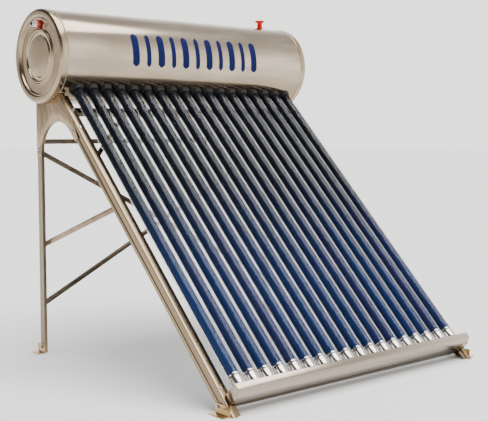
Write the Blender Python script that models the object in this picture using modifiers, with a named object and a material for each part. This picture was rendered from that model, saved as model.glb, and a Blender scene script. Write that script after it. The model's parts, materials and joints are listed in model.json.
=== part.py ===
"""Solar water heater: an insulated tank, evacuated glass tubes, their tail rail and a bolted stand.

Metres, +Z up. X runs along the tank and the tubes slope down towards -Y. The origin is on the ground,
under the middle of the heater. Slanted pieces are made hanging straight down from the tank's axis, in the
frame of the empty "collector_plane", which turns them to the tilt of the tubes: there x is across the
heater, y is the depth below the plane of the tubes' axes, and -z is the distance down the tubes.
"""

import math

import bmesh
import bpy
from mathutils import Matrix, Vector

# Driving dimensions
TILT = math.radians(45)
TUBE_COUNT = 18
TUBE_PITCH = 0.080
TUBE_RADIUS = 0.029
TUBE_LENGTH = 1.800
TANK_RADIUS = 0.230
TANK_LENGTH = 1.602
TANK_AXIS_HEIGHT = 1.475
INNER_TANK_RADIUS = 0.180
GAP = 0.0003

# Glass tubes
GLASS_WALL = 0.0016
ABSORBER_RADIUS = 0.0235
TUBE_MOUTH = 0.165
TUBE_SIDES = 12
TIP_HOLE_RADIUS = 0.003
TIP_GAP = 0.010
LIP_DEPTH = 0.012

# Tank
SKIN = 0.001
TANK_SIDES = 48
LINER_SIDES = 24
CAP_SKIRT = 0.045
SKIRT_LAP = 0.015
SHELL_RADIUS = TANK_RADIUS - SKIN - 0.0005
SHELL_BORE = 0.0315
LINER_BORE = 0.0325
LINER_BORE_SIDES = 8
LINER_HALF_LENGTH = 0.735
LINER_STEEL = 0.0015
LINER_CLEARANCE = 0.0006
FOAM_CLEARANCE = 0.002
FOAM_END_GAP = 0.016
BORE_FROM = 0.120
BORE_TO = 0.260

# Ports
PORT_RISE = 0.155
PORT_FORWARD = 0.038
PORT_RADIUS = 0.0135
PORT_WALL = 0.002
PORT_CLEARANCE = 0.001
PORT_START = 0.722
PORT_END = 0.829
PORT_RING_START = 0.7895
PORT_RING_WIDTH = 0.008
PORT_RING_RADIUS = 0.0185
VENT_X = 0.645
VENT_RADIUS = 0.011
VENT_START = 0.172
VENT_END = 0.254
VENT_CAP_HEIGHT = 0.046
VENT_CAP_BORE_DEPTH = 0.030
VENT_CUT_FROM = 0.150
VENT_CUT_TO = 0.240

# Stand
STEEL = 0.0015
LEG_FACE = 0.765
RIDGE_DEPTH = 0.0265
RIDGE_WIDTH = 0.026
SHELF_DROP = 0.0085
SHELF_WIDTH = 0.022
WEB_END_DEPTH = 0.083
WEB_GROOVE = 0.003
REAR_FLANGE = 0.016
LEG_TOP = 0.237
REAR_LEG_FRONT = 0.040
REAR_LEG_BACK = 0.079
REAR_LEG_FLANGE = 0.018
BAR_WIDTH = 0.024
BAR_LIP = 0.009
FRONT_BAR_LIP = 0.026
UPPER_BAR_DOWN = 0.335
UPPER_BAR_WIDTH = 0.034
LOWER_BAR_DOWN = 1.978
LOWER_BAR_WIDTH = 0.036
KNEE_DOWN = 0.640
KNEE_WIDTH = 0.022
SADDLE_ARCH_RADIUS = 0.1635
SADDLE_ARM_END = 0.490
SADDLE_FLANGE = 0.016
CRADLE_FLANGE = 0.040
CRADLE_RADIUS = 0.2309
SADDLE_STEEL = 0.002
SADDLE_CLEARANCE = 0.0012
SADDLE_ARCH_SPAN = math.radians(135)
SADDLE_ARCH_STEPS = 14
SADDLE_FRONT_END = 0.500
SADDLE_FRONT_TOP = 0.400
SADDLE_FRONT_DEPTH = 0.032
SADDLE_TIP_DEPTH = 0.058
CRADLE_FIRST_ANGLE = math.radians(20.0)
CRADLE_LAST_ANGLE = math.radians(-37.04)
CRADLE_STEPS = 10
REAR_CROSSBAR_DROP = 0.415
REAR_BRACE_INSET = 0.013
REAR_BRACE_TOP_DROP = 0.464
REAR_BRACE_FOOT_DROP = 1.234
SIDE_BRACE_REAR = (0.068, -0.932)
SIDE_BRACE_FRONT = (-0.612, -0.699)
BAR_END_GAP = 0.001
KNEE_INSET = 0.030

# Tail rail, by distance down the tubes and height in front of their plane
RAIL_TOP = 1.953
RAIL_BOTTOM = 1.999
RAIL_FRONT = 0.051
RAIL_BACK = -0.026
RAIL_HALF_LENGTH = 0.742
RAIL_END_STEEL = 0.0015
RAIL_BORE = 0.0265
RAIL_NOSE = 1.980
RAIL_CHAMFER = 0.017

# Feet and bolts
FOOT_STEEL = 0.003
FOOT_HEIGHT = 0.042
FOOT_REACH = 0.040
FRONT_FOOT_SPAN = (-1.422, -1.326)
REAR_FOOT_SPAN = (0.030, 0.100)
BOLT_RADIUS = 0.004
BOLT_HEAD_RADIUS = 0.0075
BOLT_HEAD = 0.005
BOLT_HOLE = 0.0048
FOOT_BOLT_HEIGHT = 0.028
WEB_BOLT_DEPTH = 0.0725
REAR_BOLT_BACK = 0.060
SADDLE_FRONT_BOLT = 0.440
SADDLE_REAR_BOLT_DROP = 0.450

# The tank's axis stands behind the origin by as much as centres the heater between its toes and its back
TOE = TANK_AXIS_HEIGHT / math.tan(TILT) - RIDGE_DEPTH / math.sin(TILT)
TANK_Y = (TOE - TANK_RADIUS) / 2
TANK_CENTRE = Vector((0, TANK_Y, TANK_AXIS_HEIGHT))
PORT_PLACE = Vector((0, -PORT_FORWARD, PORT_RISE))
FIRST_TUBE_X = -TUBE_PITCH * (TUBE_COUNT - 1) / 2

FINISHES = {
    "tank_steel": ((0.66, 0.60, 0.54), 0.16, 1.0),
    "stand_steel": ((0.52, 0.43, 0.32), 0.28, 1.0),
    "foot_steel": ((0.62, 0.42, 0.22), 0.35, 1.0),
    "rail_steel": ((0.62, 0.55, 0.47), 0.25, 1.0),
    "bolt_steel": ((0.60, 0.58, 0.55), 0.25, 1.0),
    "pipe_steel": ((0.66, 0.64, 0.62), 0.18, 1.0),
    "tube_glass": ((0.015, 0.025, 0.075), 0.06, 0.0),
    "liner_steel": ((0.68, 0.68, 0.68), 0.30, 1.0),
    "foam": ((0.83, 0.76, 0.55), 0.90, 0.0),
    "red_plastic": ((0.70, 0.02, 0.015), 0.40, 0.0),
}


def clear_scene():
    for old in list(bpy.data.objects):
        bpy.data.objects.remove(old, do_unlink=True)


def new_collection(name):
    made = bpy.data.collections.new(name)
    bpy.context.scene.collection.children.link(made)
    return made


clear_scene()
PARTS = new_collection("solar_water_heater")
CUTTERS = new_collection("cutters")
PLANE = bpy.data.objects.new("collector_plane", None)
PARTS.objects.link(PLANE)
PLANE.location = TANK_CENTRE
PLANE.rotation_euler = (TILT - math.pi / 2, 0, 0)


def finish(name):
    """A Principled material from the table of finishes, made once."""
    known = bpy.data.materials.get(name)
    if known:
        return known
    colour, roughness, metallic = FINISHES[name]
    made = bpy.data.materials.new(name)
    made.use_nodes = True
    shader = made.node_tree.nodes["Principled BSDF"]
    shader.inputs["Base Color"].default_value = (*colour, 1)
    shader.inputs["Roughness"].default_value = roughness
    shader.inputs["Metallic"].default_value = metallic
    return made


def add_part(name, mesh, slot, parent=None, location=(0, 0, 0), rotation=(0, 0, 0)):
    """A named sub-part in the heater's collection, from a mesh."""
    made = bpy.data.objects.new(name, mesh)
    PARTS.objects.link(made)
    made.parent = parent
    made.location = location
    made.rotation_euler = rotation
    made.data.materials.clear()
    made.data.materials.append(finish(slot))
    return made


def add_cutter(name, mesh, parent=None):
    made = bpy.data.objects.new(name, mesh)
    CUTTERS.objects.link(made)
    made.parent = parent
    made.hide_render = True
    made.display_type = "WIRE"
    return made


def cut(target, cutter):
    boolean = target.modifiers.new("cut_" + cutter.name, "BOOLEAN")
    boolean.operation = "DIFFERENCE"
    boolean.object = cutter


def mesh_from(bm, name):
    mesh = bpy.data.meshes.new(name)
    bm.to_mesh(mesh)
    bm.free()
    return mesh


def polyline_mesh(name, points):
    """An open line of edges through 3D points."""
    bm = bmesh.new()
    verts = [bm.verts.new(p) for p in points]
    for a, b in zip(verts, verts[1:]):
        bm.edges.new((a, b))
    return mesh_from(bm, name)


def turn(target, sides):
    """Spins the object's profile about its own Z axis."""
    screw = target.modifiers.new("turn", "SCREW")
    screw.steps = sides
    screw.render_steps = sides
    screw.use_merge_vertices = True
    screw.merge_threshold = 0.00005
    screw.use_smooth_shade = True


def thicken(target, thickness, offset=-1):
    solid = target.modifiers.new("thickness", "SOLIDIFY")
    solid.thickness = thickness
    solid.offset = offset
    solid.use_even_offset = True


def rods(name, spans, radius, sides):
    """A mesh of closed round rods, one for each (start, end).

    Each is turned half a side about its own length, so that no corner meets an edge of what it cuts.
    """
    half_side = Matrix.Rotation(math.pi / sides, 4, "Z")
    bm = bmesh.new()
    for start, end in spans:
        start, end = Vector(start), Vector(end)
        run = end - start
        facing = run.to_track_quat("Z", "Y").to_matrix().to_4x4()
        place = Matrix.Translation((start + end) / 2) @ facing @ half_side
        bmesh.ops.create_cone(
            bm, cap_ends=True, segments=sides, radius1=radius, radius2=radius, depth=run.length, matrix=place
        )
    return mesh_from(bm, name)


def sheet_strip(name, section, start, end):
    """An open strip: a section of (x, y) points drawn out along z from start to end."""
    bm = bmesh.new()
    row = [bm.verts.new((x, y, start)) for x, y in section]
    edges = [bm.edges.new(pair) for pair in zip(row, row[1:])]
    drawn = bmesh.ops.extrude_edge_only(bm, edges=edges)["geom"]
    for vert in (v for v in drawn if isinstance(v, bmesh.types.BMVert)):
        vert.co.z = end
    return mesh_from(bm, name)


def mirrored(section, side):
    """The section as made for the left (-1), or mirrored and reversed for the right (+1)."""
    if side < 0:
        return list(section)
    return [(-x, y) for x, y in reversed(section)]


# ---- Tank ----

def tube_x(number):
    return FIRST_TUBE_X + TUBE_PITCH * number


def bore_cutter(name, radius, sides):
    """Round holes for all the tubes, from inside the inner tank out through the shell."""
    spans = [((tube_x(i), 0, -BORE_FROM), (tube_x(i), 0, -BORE_TO)) for i in range(TUBE_COUNT)]
    return add_cutter(name, rods(name, spans, radius, sides), PLANE)


def tank_axis_rotation(side):
    return (0, side * math.pi / 2, 0)


def make_shell():
    half = TANK_LENGTH / 2 - CAP_SKIRT + SKIRT_LAP
    profile = polyline_mesh("tank_shell", [(SHELL_RADIUS, 0, half), (SHELL_RADIUS, 0, -half)])
    shell = add_part("tank_shell", profile, "tank_steel", None, TANK_CENTRE, tank_axis_rotation(1))
    turn(shell, TANK_SIDES)
    thicken(shell, SKIN)
    cut(shell, bore_cutter("shell_bores", SHELL_BORE, 16))
    top = TANK_CENTRE + Vector((VENT_X, 0, 0))
    span = (top + Vector((0, 0, VENT_CUT_FROM)), top + Vector((0, 0, VENT_CUT_TO)))
    cut(shell, add_cutter("vent_shell_hole", rods("vent_shell_hole", [span], VENT_RADIUS + GAP * 2, 16)))


def end_cap_profile():
    """Half of a pressed end cap, from its centre out over the face and back along the skirt."""
    face = TANK_LENGTH / 2
    return [
        (0, face - 0.001),
        (0.070, face - 0.004),
        (0.114, face - 0.012),
        (0.125, face - 0.006),
        (0.136, face - 0.012),
        (0.180, face - 0.012),
        (0.191, face - 0.001),
        (0.216, face),
        (0.2265, face - 0.005),
        (TANK_RADIUS, face - 0.014),
        (TANK_RADIUS, face - CAP_SKIRT),
    ]


def make_end_caps():
    profile = [(r, 0, h) for r, h in end_cap_profile()]
    for side, name in ((-1, "tank_end_cap_left"), (1, "tank_end_cap_right")):
        cap = add_part(
            name, polyline_mesh(name, profile), "tank_steel", None, TANK_CENTRE, tank_axis_rotation(side)
        )
        turn(cap, TANK_SIDES)
        thicken(cap, SKIN)
        hole = rods(name + "_hole", [port_span(side, PORT_START, PORT_END)], PORT_RADIUS + GAP * 2, 16)
        cut(cap, add_cutter(name + "_hole", hole))


def port_span(side, start, end):
    """The two ends of a length of port pipe, from the heater's middle outwards."""
    base = TANK_CENTRE + PORT_PLACE
    return base + Vector((side * start, 0, 0)), base + Vector((side * end, 0, 0))


def hollow_barrel(name, radius, half, wall_radial, wall_end):
    """The section of a closed barrel, wall and all, as one line from axis to axis."""
    outer = [(0, half), (radius, half), (radius, -half), (0, -half)]
    inner_radius, inner_half = radius - wall_radial, half - wall_end
    inner = [(0, -inner_half), (inner_radius, -inner_half), (inner_radius, inner_half), (0, inner_half)]
    bm = bmesh.new()
    for line in (outer, inner):
        verts = [bm.verts.new((r, 0, h)) for r, h in line]
        for a, b in zip(verts, verts[1:]):
            bm.edges.new((a, b))
    return mesh_from(bm, name)


def cut_ports(target, clearance):
    for side in (-1, 1):
        name = target.name + ("_left_port" if side < 0 else "_right_port")
        span = port_span(side, PORT_START - 0.020, PORT_END)
        cut(target, add_cutter(name, rods(name, [span], PORT_RADIUS + clearance, 12)))
    top = TANK_CENTRE + Vector((VENT_X, 0, 0))
    span = (top + Vector((0, 0, VENT_CUT_FROM)), top + Vector((0, 0, VENT_CUT_TO)))
    name = target.name + "_vent"
    cut(target, add_cutter(name, rods(name, [span], VENT_RADIUS + clearance, 12)))


def make_liner_and_foam():
    liner_mesh = hollow_barrel("inner_tank", INNER_TANK_RADIUS, LINER_HALF_LENGTH, LINER_STEEL, LINER_STEEL)
    liner = add_part("inner_tank", liner_mesh, "liner_steel", None, TANK_CENTRE, tank_axis_rotation(1))
    turn(liner, LINER_SIDES)
    bores = bore_cutter("liner_bores", LINER_BORE, LINER_BORE_SIDES)
    cut(liner, bores)
    cut_ports(liner, PORT_CLEARANCE)

    foam_radius, foam_half = SHELL_RADIUS - SKIN - FOAM_CLEARANCE, TANK_LENGTH / 2 - FOAM_END_GAP
    wall = foam_radius - INNER_TANK_RADIUS - LINER_CLEARANCE
    end_wall = foam_half - LINER_HALF_LENGTH - LINER_CLEARANCE
    foam_mesh = hollow_barrel("insulation_foam", foam_radius, foam_half, wall, end_wall)
    foam = add_part("insulation_foam", foam_mesh, "foam", None, TANK_CENTRE, tank_axis_rotation(1))
    turn(foam, LINER_SIDES)
    cut(foam, bores)
    cut_ports(foam, PORT_CLEARANCE)


# ---- Ports and vent ----

def add_turned(name, slot, section, sides, location, rotation):
    """A turned piece whose section is a closed loop of (radius, height), outer side running down."""
    points = [(r, 0, h) for r, h in section]
    if section[0][0] > 0:
        points.append(points[0])
    piece = add_part(name, polyline_mesh(name, points), slot, None, location, rotation)
    turn(piece, sides)
    return piece


def ring_section(outer, inner, top, bottom):
    return [(inner, top), (outer, top), (outer, bottom), (inner, bottom)]


def make_ports():
    for side, pipe_name, ring_name in (
        (-1, "outlet_pipe", "outlet_seal_ring"),
        (1, "inlet_pipe", "inlet_seal_ring"),
    ):
        centre = TANK_CENTRE + PORT_PLACE
        rotation = tank_axis_rotation(side)
        pipe = ring_section(PORT_RADIUS, PORT_RADIUS - PORT_WALL, PORT_END, PORT_START)
        add_turned(pipe_name, "pipe_steel", pipe, 16, centre, rotation)
        ring_end = PORT_RING_START + PORT_RING_WIDTH
        ring = ring_section(PORT_RING_RADIUS, PORT_RADIUS + GAP * 2, ring_end, PORT_RING_START)
        add_turned(ring_name, "red_plastic", ring, 16, centre, rotation)


def make_vent():
    foot = TANK_CENTRE + Vector((VENT_X, 0, 0))
    pipe = ring_section(VENT_RADIUS, VENT_RADIUS - PORT_WALL, VENT_END, VENT_START)
    add_turned("vent_pipe", "pipe_steel", pipe, 16, foot, (0, 0, 0))
    bore, roof = VENT_RADIUS + GAP * 2, VENT_CAP_BORE_DEPTH
    cap = [
        (0, VENT_CAP_HEIGHT),
        (0.024, VENT_CAP_HEIGHT),
        (0.027, 0.043),
        (0.027, 0.037),
        (0.014, 0.034),
        (0.014, 0.011),
        (0.0175, 0.007),
        (0.0175, 0),
        (bore, 0),
        (bore, roof),
        (0, roof),
    ]
    seat = foot + Vector((0, 0, SHELL_RADIUS + GAP))
    add_turned("vent_cap", "red_plastic", cap, 16, seat, (0, 0, 0))


# ---- Evacuated tubes ----

def dome(radius, centre, rings, first, last):
    """Points on a hemisphere's edge below its centre, between two angles from straight down."""
    step = (last - first) / rings
    angles = [first + step * i for i in range(rings + 1)]
    return [(radius * math.sin(a), centre - radius * math.cos(a)) for a in angles]


def tube_profile():
    """One line round the glass: up the bore, over the lip, down outside, and back up the vacuum gap.

    The vacuum gap opens to the outside at the tip, where the pump-out nipple is fused on the real tube.
    """
    mouth, tip = 0, -TUBE_LENGTH
    outer_centre = tip + TUBE_RADIUS
    inner_centre = tip + TIP_GAP + ABSORBER_RADIUS
    bore = ABSORBER_RADIUS - GLASS_WALL
    jacket = TUBE_RADIUS - GLASS_WALL
    quarter = math.pi / 2
    line = dome(bore, inner_centre, 2, 0, quarter)
    line += [(bore, mouth), (TUBE_RADIUS, mouth)]
    line += reversed(dome(TUBE_RADIUS, outer_centre, 3, math.asin(TIP_HOLE_RADIUS / TUBE_RADIUS), quarter))
    line += dome(jacket, outer_centre, 2, math.asin(TIP_HOLE_RADIUS / jacket), quarter)
    line += [(jacket, mouth - LIP_DEPTH), (ABSORBER_RADIUS, mouth - LIP_DEPTH)]
    line += reversed(dome(ABSORBER_RADIUS, inner_centre, 2, 0, quarter))
    return line


def make_tubes():
    profile = polyline_mesh("tube", [(r, 0, h) for r, h in tube_profile()])
    for i in range(TUBE_COUNT):
        place = (tube_x(i), 0, -TUBE_MOUTH)
        tube = add_part(f"tube_{i + 1:02d}", profile, "tube_glass", PLANE, place)
        turn(tube, TUBE_SIDES)


# ---- Tail rail ----

def rail_outline():
    """The rail's bent section, open at the back edge, as (distance down, height in front)."""
    return [
        (RAIL_TOP, RAIL_BACK),
        (RAIL_TOP, RAIL_FRONT),
        (RAIL_NOSE, RAIL_FRONT),
        (RAIL_BOTTOM, RAIL_CHAMFER),
        (RAIL_BOTTOM, RAIL_BACK),
    ]


def make_rail():
    section = [(-front, -down) for down, front in rail_outline()]
    half = RAIL_HALF_LENGTH - RAIL_END_STEEL - GAP
    bm = bmesh.new()
    rows = []
    for x in (-half, half):
        rows.append([bm.verts.new((x, y, z)) for y, z in section])
    for a, b, c, d in zip(rows[0], rows[0][1:], rows[1][1:], rows[1]):
        bm.faces.new((a, b, c, d))
    rail = add_part("tail_rail", mesh_from(bm, "tail_rail"), "rail_steel", PLANE)
    thicken(rail, STEEL)
    spans = [((tube_x(i), 0, 0.030 - RAIL_TOP), (tube_x(i), 0, -0.030 - RAIL_TOP)) for i in range(TUBE_COUNT)]
    cut(rail, add_cutter("rail_bores", rods("rail_bores", spans, RAIL_BORE, 10), PLANE))


def make_rail_ends():
    """Flat end plates with the rail's outline."""
    for side, name in ((-1, "tail_rail_end_left"), (1, "tail_rail_end_right")):
        bm = bmesh.new()
        outer = side * RAIL_HALF_LENGTH
        inner = side * (RAIL_HALF_LENGTH - RAIL_END_STEEL)
        face = bm.faces.new([bm.verts.new((outer, -front, -down)) for down, front in rail_outline()])
        drawn = bmesh.ops.extrude_face_region(bm, geom=[face])["geom"]
        for vert in (v for v in drawn if isinstance(v, bmesh.types.BMVert)):
            vert.co.x = inner
        bmesh.ops.recalc_face_normals(bm, faces=bm.faces)
        add_part(name, mesh_from(bm, name), "rail_steel", PLANE)


# ---- Stand ----

def front_leg_section():
    """The front leg's folds for the left side, as (x, depth): shelf, ridge, grooved web, rear flange."""
    face = -LEG_FACE
    ridge = RIDGE_DEPTH
    shelf = RIDGE_DEPTH + SHELF_DROP
    return [
        (face + RIDGE_WIDTH + SHELF_WIDTH, shelf),
        (face + RIDGE_WIDTH, shelf),
        (face + RIDGE_WIDTH, ridge),
        (face, ridge),
        (face, 0.044),
        (face + WEB_GROOVE, 0.047),
        (face + WEB_GROOVE, 0.060),
        (face, 0.063),
        (face, WEB_END_DEPTH),
        (face + REAR_FLANGE, WEB_END_DEPTH),
    ]


def rear_leg_section():
    """The rear leg's channel for the left side, as (x, y behind the tank's axis)."""
    face = -LEG_FACE
    return [
        (face + REAR_LEG_FLANGE, REAR_LEG_FRONT),
        (face, REAR_LEG_FRONT),
        (face, REAR_LEG_BACK),
        (face + REAR_LEG_FLANGE, REAR_LEG_BACK),
    ]


def side_word(side):
    return "left" if side < 0 else "right"


def make_legs():
    ground = add_cutter("ground", box_mesh("ground", (-1, -1.2, -0.5), (1, 1.2, 0)))
    for side in (-1, 1):
        word = side_word(side)
        section = mirrored(front_leg_section(), side)
        reach = -(TANK_AXIS_HEIGHT / math.sin(TILT) + 0.050)
        front = add_part(
            "front_leg_" + word, sheet_strip("front_leg", section, -LEG_TOP, reach), "stand_steel", PLANE
        )
        thicken(front, STEEL, 1)
        cut(front, ground)
        section = mirrored(rear_leg_section(), side)
        rear = add_part(
            "rear_leg_" + word,
            sheet_strip("rear_leg", section, TANK_AXIS_HEIGHT - LEG_TOP, 0),
            "stand_steel",
            None,
            (0, TANK_Y, 0),
        )
        thicken(rear, STEEL, 1)


def box_mesh(name, low, high):
    low, high = Vector(low), Vector(high)
    size = high - low
    bm = bmesh.new()
    place = Matrix.Translation((low + high) / 2) @ Matrix.Diagonal((*size, 1))
    bmesh.ops.create_cube(bm, size=1, matrix=place)
    return mesh_from(bm, name)


def bar(name, start, end, outward, parent=None, width=BAR_WIDTH, lip=BAR_LIP):
    """A shallow channel between two points, its web facing away from outward and its lips along it."""
    start, end, outward = Vector(start), Vector(end), Vector(outward).normalized()
    along = (end - start).normalized()
    across = outward.cross(along)
    length = (end - start).length
    section = [(width / 2, lip), (width / 2, 0), (-width / 2, 0), (-width / 2, lip)]
    piece = add_part(name, sheet_strip(name, section, 0, length), "stand_steel", parent)
    place = Matrix((across, outward, along)).transposed().to_4x4()
    place.translation = start
    piece.matrix_local = place
    thicken(piece, STEEL)
    return piece


def make_bars():
    back = TANK_Y + REAR_LEG_BACK + GAP
    reach = LEG_FACE - STEEL - BAR_END_GAP
    z = TANK_AXIS_HEIGHT
    level = z - REAR_CROSSBAR_DROP
    bar("rear_crossbar", (-reach, back, level), (reach, back, level), (0, 1, 0))

    brace_x, high, low = LEG_FACE - REAR_BRACE_INSET, z - REAR_BRACE_TOP_DROP, z - REAR_BRACE_FOOT_DROP
    bar("rear_brace_outer", (-brace_x, back, high), (brace_x, back, low), (0, 1, 0))
    inside = TANK_Y + REAR_LEG_BACK - STEEL - GAP
    bar("rear_brace_inner", (brace_x, inside, high), (-brace_x, inside, low), (0, -1, 0))

    for side in (-1, 1):
        x = side * (LEG_FACE - REAR_LEG_FLANGE - GAP * 2)
        start, end = ((x, TANK_Y + y, z + rise) for y, rise in (SIDE_BRACE_REAR, SIDE_BRACE_FRONT))
        bar("side_brace_" + side_word(side), start, end, (-side, 0, 0))

    below = RIDGE_DEPTH + SHELF_DROP + STEEL + GAP
    reach = LEG_FACE - WEB_GROOVE - STEEL - BAR_END_GAP
    for name, down, width in (
        ("upper_front_crossbar", UPPER_BAR_DOWN, UPPER_BAR_WIDTH),
        ("lower_front_crossbar", LOWER_BAR_DOWN, LOWER_BAR_WIDTH),
    ):
        bar(name, (-reach, below, -down), (reach, below, -down), (0, 1, 0), PLANE, width, FRONT_BAR_LIP)

    # The knee braces rise at 45 degrees and stop 1 mm short of the upper crossbar's lower lip
    half_across = KNEE_WIDTH / 2 / math.sqrt(2)
    knee_top = UPPER_BAR_DOWN + UPPER_BAR_WIDTH / 2 + half_across + BAR_END_GAP
    for side in (-1, 1):
        foot_x = LEG_FACE - KNEE_INSET
        start = (side * foot_x, below, -KNEE_DOWN)
        end = (side * (foot_x - KNEE_DOWN + knee_top), below, -knee_top)
        bar("knee_brace_" + side_word(side), start, end, (0, 1, 0), PLANE, KNEE_WIDTH)


def saddle_outline():
    """The arched plate, as (y behind the tank's axis, z above it), with its arch and cradle stretches."""
    slope = Vector((-math.cos(TILT), -math.sin(TILT)))
    below = Vector((math.sin(TILT), -math.cos(TILT)))

    def along_leg(down, depth):
        return slope * down + below * depth

    back_line = REAR_LEG_FRONT - SADDLE_STEEL - SADDLE_CLEARANCE
    leg_line = WEB_END_DEPTH + SADDLE_STEEL + SADDLE_CLEARANCE
    r = SADDLE_ARCH_RADIUS
    centre_y = back_line - r
    centre_z = centre_y - (leg_line + r) / math.sin(TILT)
    arch = []
    for i in range(SADDLE_ARCH_STEPS + 1):
        angle = SADDLE_ARCH_SPAN * (1 - i / SADDLE_ARCH_STEPS)
        arch.append(Vector((centre_y + r * math.cos(angle), centre_z + r * math.sin(angle))))
    front_tip = along_leg(SADDLE_FRONT_END, leg_line)
    back_tip = Vector((back_line, -SADDLE_ARM_END))
    arch = [front_tip, *arch, back_tip]

    first, last = CRADLE_FIRST_ANGLE, CRADLE_LAST_ANGLE
    cradle = []
    for i in range(CRADLE_STEPS + 1):
        angle = first + (last - first) * i / CRADLE_STEPS
        cradle.append(Vector((CRADLE_RADIUS * math.sin(angle), -CRADLE_RADIUS * math.cos(angle))))
    outside = [Vector((REAR_LEG_BACK, -SADDLE_ARM_END))]
    front = [
        along_leg(SADDLE_FRONT_TOP, SADDLE_FRONT_DEPTH),
        along_leg(SADDLE_FRONT_END, SADDLE_TIP_DEPTH),
    ]
    return arch, outside, cradle, front


def make_saddles():
    arch, outside, cradle, front = saddle_outline()
    for side in (-1, 1):
        plate_x = side * (LEG_FACE + GAP + SADDLE_STEEL)
        bm = bmesh.new()

        def place(point):
            return bm.verts.new((plate_x, TANK_Y + point.x, TANK_AXIS_HEIGHT + point.y))

        arch_verts = [place(p) for p in arch]
        outside_verts = [place(p) for p in outside]
        cradle_verts = [place(p) for p in cradle]
        front_verts = [place(p) for p in front]
        loop = arch_verts + outside_verts + cradle_verts + front_verts
        face = bm.faces.new(loop)
        for verts, width in ((arch_verts, SADDLE_FLANGE), (cradle_verts, CRADLE_FLANGE)):
            edges = [bm.edges.get(pair) for pair in zip(verts, verts[1:])]
            drawn = bmesh.ops.extrude_edge_only(bm, edges=edges)["geom"]
            for vert in (v for v in drawn if isinstance(v, bmesh.types.BMVert)):
                vert.co.x -= side * width
        face.normal_update()
        if face.normal.x * side < 0:
            bmesh.ops.reverse_faces(bm, faces=bm.faces)
        name = "saddle_" + side_word(side)
        saddle = add_part(name, mesh_from(bm, name), "stand_steel")
        thicken(saddle, SADDLE_STEEL)


def foot_places():
    """Each foot's name, side, and front and back ends along Y."""
    for side in (-1, 1):
        word = side_word(side)
        for end, (front, back) in (("front_", FRONT_FOOT_SPAN), ("rear_", REAR_FOOT_SPAN)):
            yield end + word, side, TANK_Y + front, TANK_Y + back


def make_feet():
    """Angle brackets on the outer face of each leg, their plates flat on the ground."""
    for place, side, front, back in foot_places():
        face = side * (LEG_FACE + GAP)
        section = [(face, FOOT_HEIGHT), (face, 0), (face + side * FOOT_REACH, 0)]
        foot = add_part("foot_" + place, plate_mesh("foot", section, front, back), "foot_steel")
        thicken(foot, FOOT_STEEL, side)


def plate_mesh(name, section, front, back):
    """An open strip along Y: a section of (x, z) points from front to back."""
    bm = bmesh.new()
    rows = [[bm.verts.new((x, y, z)) for x, z in section] for y in (front, back)]
    for a, b, c, d in zip(rows[0], rows[0][1:], rows[1][1:], rows[1]):
        bm.faces.new((a, b, c, d))
    return mesh_from(bm, name)


# ---- Bolts ----

def bolt_section(grip):
    """A hexagon bolt and its nut as one turned line, through a grip that starts at height 0 and runs down."""
    return [
        (0, BOLT_HEAD + GAP),
        (BOLT_HEAD_RADIUS, BOLT_HEAD + GAP),
        (BOLT_HEAD_RADIUS, GAP),
        (BOLT_RADIUS, GAP),
        (BOLT_RADIUS, -grip - GAP),
        (BOLT_HEAD_RADIUS, -grip - GAP),
        (BOLT_HEAD_RADIUS, -grip - GAP - BOLT_HEAD),
        (0, -grip - GAP - BOLT_HEAD),
    ]


def add_bolt(place, side, y, z, outer_steel, targets):
    """One bolt through the outer piece and the leg's web, with its hole cut in both."""
    face = side * (LEG_FACE + GAP + outer_steel)
    grip = outer_steel + GAP + STEEL
    rotation = tank_axis_rotation(side)
    add_turned("bolt_" + place, "bolt_steel", bolt_section(grip), 6, (face, y, z), rotation)
    inside = Vector((face - side * (grip + 0.004), y, z))
    outside = Vector((face + side * 0.004, y, z))
    hole = add_cutter("hole_" + place, rods("hole", [(inside, outside)], BOLT_HOLE, 8))
    for target in targets:
        cut(bpy.data.objects[target], hole)


def web_point(down, depth):
    """World y and z of a point on a front leg's web, by its distance down the tubes and depth below them."""
    y = TANK_Y - down * math.cos(TILT) + depth * math.sin(TILT)
    z = TANK_AXIS_HEIGHT - down * math.sin(TILT) - depth * math.cos(TILT)
    return y, z


def make_bolts():
    foot_bolt_down = (TANK_AXIS_HEIGHT - FOOT_BOLT_HEIGHT) / math.sin(TILT) - WEB_BOLT_DEPTH
    for side in (-1, 1):
        word = side_word(side)
        saddle, front_leg, rear_leg = "saddle_" + word, "front_leg_" + word, "rear_leg_" + word
        front_foot, rear_foot = "foot_front_" + word, "foot_rear_" + word
        y, z = web_point(SADDLE_FRONT_BOLT, WEB_BOLT_DEPTH)
        add_bolt(saddle + "_front", side, y, z, SADDLE_STEEL, (saddle, front_leg))
        y, z = web_point(foot_bolt_down, WEB_BOLT_DEPTH)
        add_bolt(front_foot, side, y, z, FOOT_STEEL, (front_foot, front_leg))
        y, z = TANK_Y + REAR_BOLT_BACK, TANK_AXIS_HEIGHT - SADDLE_REAR_BOLT_DROP
        add_bolt(saddle + "_rear", side, y, z, SADDLE_STEEL, (saddle, rear_leg))
        add_bolt(rear_foot, side, y, FOOT_BOLT_HEIGHT, FOOT_STEEL, (rear_foot, rear_leg))


make_shell()
make_end_caps()
make_liner_and_foam()
make_ports()
make_vent()
make_tubes()
make_rail()
make_rail_ends()
make_legs()
make_bars()
make_saddles()
make_feet()
make_bolts()
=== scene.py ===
"""The looks of the solar water heater: polished tank, glass tubes, tail rail and bolted steel stand."""

import json
import math

import bmesh
import bpy
from mathutils import Matrix, Vector

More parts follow.
